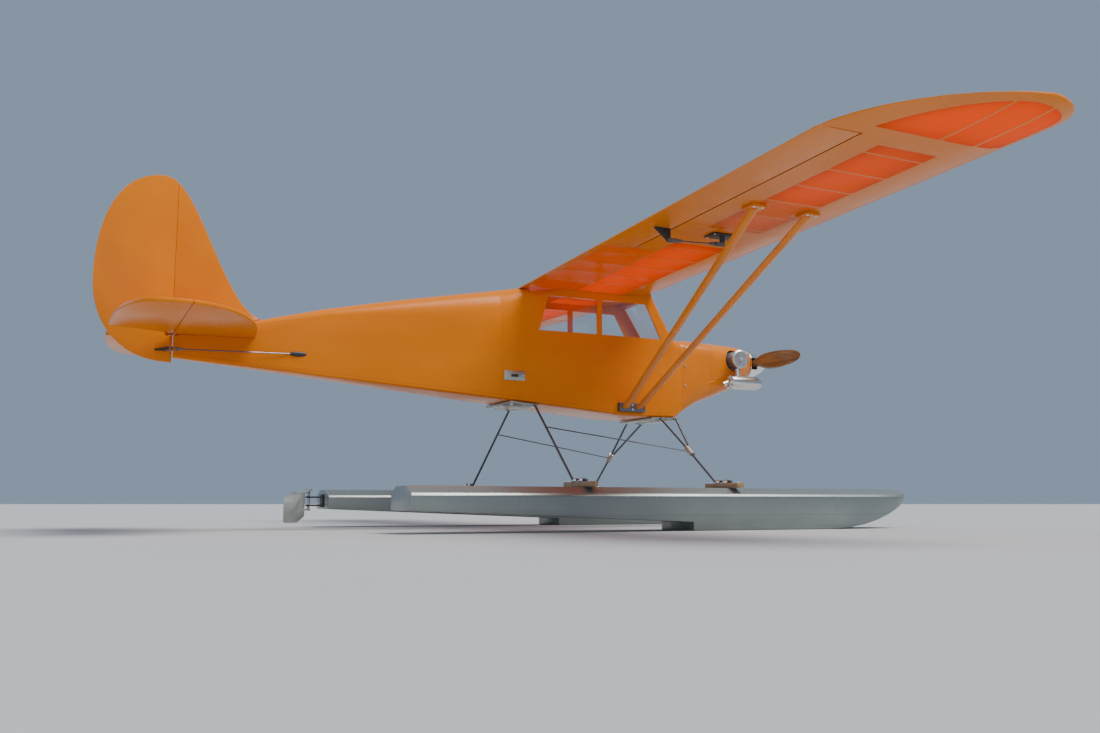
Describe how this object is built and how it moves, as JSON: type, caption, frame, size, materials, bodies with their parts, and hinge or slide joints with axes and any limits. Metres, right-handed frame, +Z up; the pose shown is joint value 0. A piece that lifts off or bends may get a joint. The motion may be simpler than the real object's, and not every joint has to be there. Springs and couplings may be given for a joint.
{
  "type": "radio-controlled model floatplane",
  "caption": "High-wing cabin model aeroplane with film-covered wing and tail, strut-braced wing, nose engine with spinner and propeller, and stepped floats on wire legs.",
  "frame": {"origin": "middle of the outer box at the flat float bottoms, on which the aeroplane stands", "axes": "+X to the nose, +Y to the left wing tip, +Z up"},
  "size_m": [1.348, 1.942, 0.553],
  "materials": {
    "film": "glossy iron-on covering film over balsa, deep orange-yellow, translucent over open bays",
    "cowl_paint": "gloss orange-yellow paint on a moulded cowl",
    "clear": "clear moulded sheet",
    "float_shell": "silver-grey paint with a satin metallic sheen on a moulded shell",
    "engine_alloy": "cast and machined alloy",
    "polished": "polished bare metal",
    "plate_alloy": "satin sheet metal",
    "strut_paint": "gloss orange-yellow paint on streamline tube",
    "wire": "dark spring wire",
    "propeller_wood": "varnished beech",
    "hardwood": "sealed hardwood",
    "black_nylon": "moulded nylon"
  },
  "bodies": {
    "airframe": {"windscreen": "clear", "window_front_left": "clear", "window_rear_left": "clear", "window_front_right": "clear", "window_rear_right": "clear", "fuselage_cabin": "film", "fuselage_rear": "film", "cowl": "cowl_paint", "engine_case": "engine_alloy", "engine_mount": "engine_alloy", "engine_cylinder": "engine_alloy", "silencer": "polished", "stabilizer": "film", "fin": "film", "belly_plate_front": "plate_alloy", "belly_plate_rear": "plate_alloy", "water_rudder_bracket": "black_nylon", "wing_left": "film", "aileron_servo_left": "black_nylon", "strut_fitting_left": "wire", "strut_front_left": "strut_paint", "strut_rear_left": "strut_paint", "front_leg_left": "wire", "rear_leg_left": "wire", "brace_left": "wire", "float_left": "float_shell", "deck_bar_front_left": "hardwood", "deck_bar_rear_left": "hardwood", "wing_right": "film", "aileron_servo_right": "black_nylon", "strut_fitting_right": "wire", "strut_front_right": "strut_paint", "strut_rear_right": "strut_paint", "front_leg_right": "wire", "rear_leg_right": "wire", "brace_right": "wire", "float_right": "float_shell", "deck_bar_front_right": "hardwood", "deck_bar_rear_right": "hardwood"},
    "propeller_unit": {"propeller": "propeller_wood", "spinner_plate": "polished", "spinner": "polished"},
    "aileron_left_unit": {"aileron_left": "film", "aileron_horn_left": "black_nylon"},
    "aileron_right_unit": {"aileron_right": "film", "aileron_horn_right": "black_nylon"},
    "elevator_unit": {"elevator_left": "film", "elevator_right": "film", "elevator_joiner": "wire", "elevator_horn": "black_nylon"},
    "rudder_unit": {"rudder": "film", "rudder_horn": "black_nylon"},
    "water_rudder_unit": {"water_rudder": "plate_alloy"}
  },
  "joints": [
    {"name": "propeller_spin", "type": "hinge", "parent": "airframe", "child": "propeller_unit", "pos_m": [0.524, 0, 0.318], "axis": [1, 0, 0], "continuous": true},
    {"name": "aileron_left_hinge", "type": "hinge", "parent": "airframe", "child": "aileron_left_unit", "pos_m": [0.07, 0.58451, 0.44496], "axis": [0, 0.9995, 0.0305], "range_deg": [-20, 20]},
    {"name": "aileron_right_hinge", "type": "hinge", "parent": "airframe", "child": "aileron_right_unit", "pos_m": [0.07, -0.58451, 0.44496], "axis": [0, 0.9995, -0.0305], "range_deg": [-20, 20]},
    {"name": "elevator_hinge", "type": "hinge", "parent": "airframe", "child": "elevator_unit", "pos_m": [-0.558, 0, 0.305], "axis": [0, 1, 0], "range_deg": [-25, 25]},
    {"name": "rudder_hinge", "type": "hinge", "parent": "airframe", "child": "rudder_unit", "pos_m": [-0.56, 0, 0.4], "axis": [0, 0, 1], "range_deg": [-25, 25]},
    {"name": "water_rudder_steer", "type": "hinge", "parent": "airframe", "child": "water_rudder_unit", "pos_m": [-0.287, 0.241, 0.05], "axis": [0, 0, 1], "range_deg": [-25, 25]}
  ],
  "couplings": [
    {"joint": "aileron_right_hinge", "follows": "aileron_left_hinge", "ratio": -1},
    {"joint": "water_rudder_steer", "follows": "rudder_hinge", "ratio": 1}
  ]
}
